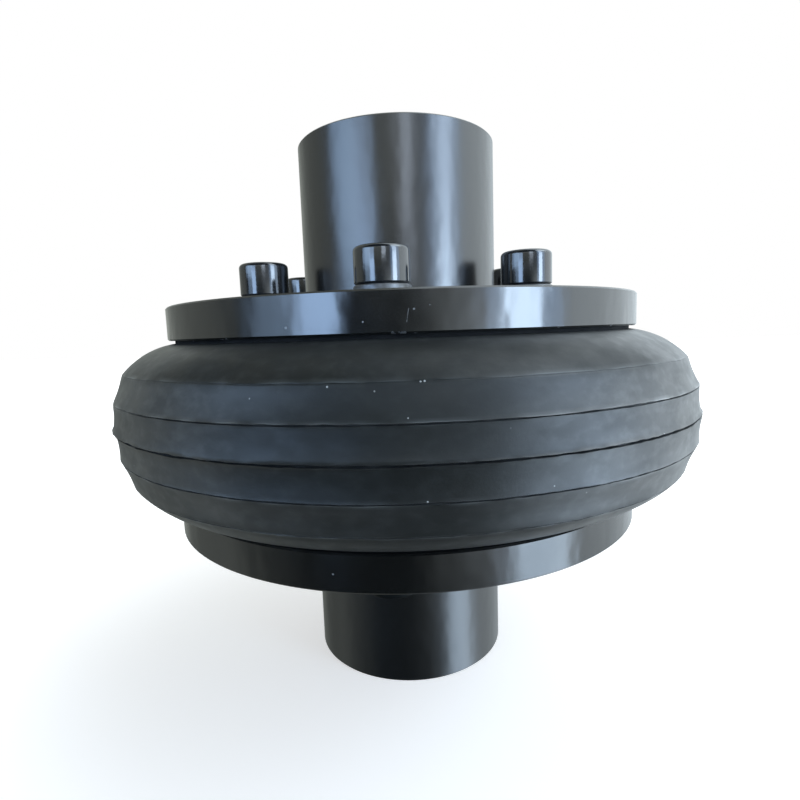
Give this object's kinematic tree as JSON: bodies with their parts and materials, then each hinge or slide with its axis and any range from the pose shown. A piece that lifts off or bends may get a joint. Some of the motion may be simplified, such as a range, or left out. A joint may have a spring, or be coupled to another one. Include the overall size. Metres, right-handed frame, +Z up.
{
  "type": "tyre coupling",
  "caption": "Flexible shaft coupling: two black flanged hubs with keyed bores, joined by a hollow ribbed rubber tyre that socket head screws clamp to the flanges.",
  "frame": {"origin": "centre of the tyre, on the shaft axis", "axes": "+Z up along the shaft axis, out of the upper hub; one screw of each flange lies on the -Y side, and the keyways face +X"},
  "size_m": [0.2214, 0.2214, 0.2046],
  "materials": {
    "hub_black": "satin",
    "tyre_rubber": "matte",
    "insert_steel": "satin",
    "nut_steel": "satin",
    "screw_black": "gloss",
    "washer_black": "satin"
  },
  "bodies": {
    "root": {"upper_hub": "hub_black", "lower_hub": "hub_black", "tyre": "tyre_rubber", "upper_insert_ring": "insert_steel", "lower_insert_ring": "insert_steel", "upper_weld_nuts": "nut_steel", "lower_weld_nuts": "nut_steel", "upper_screws": "screw_black", "lower_screws": "screw_black", "upper_spring_washers": "washer_black", "lower_spring_washers": "washer_black"}
  },
  "joints": []
}
